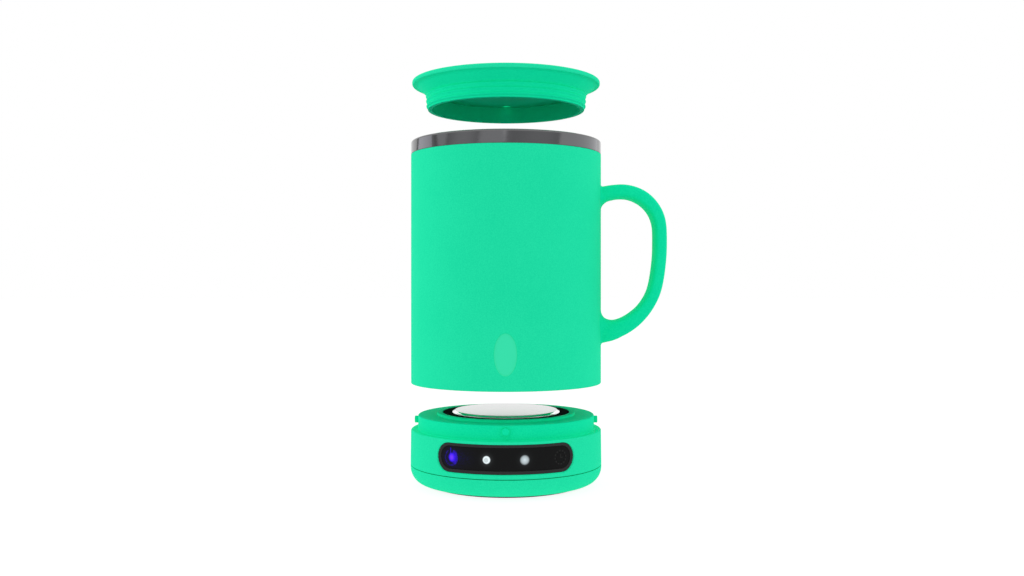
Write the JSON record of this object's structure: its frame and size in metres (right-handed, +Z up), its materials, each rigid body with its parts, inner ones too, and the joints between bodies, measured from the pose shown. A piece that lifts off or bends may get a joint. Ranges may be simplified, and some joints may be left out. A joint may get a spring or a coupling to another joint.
{
  "type": "self heating mug",
  "caption": "Straight double-walled mug with a loop handle, a press-in lid, and a battery heating base with a touch panel that the mug twists onto.",
  "frame": {"origin": "centre of the foot pad's underside, on the surface that the base stands on", "axes": "+Z up along the axis of base, mug and lid; +X towards the handle; -Y towards the touch panel"},
  "size_m": [0.1164, 0.0864, 0.1816],
  "materials": {
    "soft_green": "fine matt speckle",
    "brushed_steel": "brushed round",
    "polished_plate": "polished",
    "aluminium": "turned",
    "black_rubber": "matt",
    "silicone": "matt",
    "bezel_grey": "satin",
    "window_black": "gloss",
    "inner_plastic": "matt",
    "board_green": "satin",
    "heater_film": "satin",
    "insulation": "felt",
    "cell_wrap": "satin",
    "nickel": "satin",
    "light": "clear"
  },
  "bodies": {
    "base": {"base_housing": "soft_green", "bottom_cover": "soft_green", "foot_pad": "black_rubber", "cover_seal": "silicone", "cover_screw_1": "brushed_steel", "cover_screw_2": "brushed_steel", "cover_screw_3": "brushed_steel", "cover_screw_4": "brushed_steel", "panel_bezel": "bezel_grey", "panel_window": "window_black", "touch_board": "board_green", "indicator_light_1": "light", "indicator_light_2": "light", "indicator_light_3": "light", "indicator_light_4": "light", "panel_ribbon": "heater_film", "insulator_ring": "black_rubber", "heating_plate": "polished_plate", "film_heater": "heater_film", "insulation_pad": "insulation", "temperature_sensor": "nickel", "heater_carrier": "inner_plastic", "carrier_screw_1": "brushed_steel", "carrier_screw_2": "brushed_steel", "carrier_screw_3": "brushed_steel", "carrier_screw_4": "brushed_steel", "main_board": "board_green", "board_screw_1": "brushed_steel", "board_screw_2": "brushed_steel", "board_screw_3": "brushed_steel", "board_screw_4": "brushed_steel", "battery_cell_1": "cell_wrap", "battery_cell_2": "cell_wrap", "cell_tab_1": "nickel", "cell_tab_2": "nickel", "battery_tray": "inner_plastic", "charge_board": "board_green", "port_shell": "brushed_steel", "port_tongue": "inner_plastic"},
    "seat": {"seat_seal": "silicone"},
    "mug": {"outer_shell": "soft_green", "handle": "soft_green", "inner_liner": "brushed_steel", "rim_gasket": "silicone", "contact_plate": "aluminium", "closure_ring": "soft_green"},
    "lid": {"lid": "soft_green"}
  },
  "joints": [
    {"name": "mug_lift", "type": "slide", "parent": "base", "child": "seat", "axis": [0, 0, 1], "range_m": [-0.02027, 0.01]},
    {"name": "mug_twist", "type": "hinge", "parent": "seat", "child": "mug", "pos_m": [0, 0, 0.05282], "axis": [0, 0, 1], "range_deg": [-15, 0]},
    {"name": "lid_lift", "type": "slide", "parent": "mug", "child": "lid", "axis": [0, 0, 1], "range_m": [-0.0246, 0.01]}
  ]
}
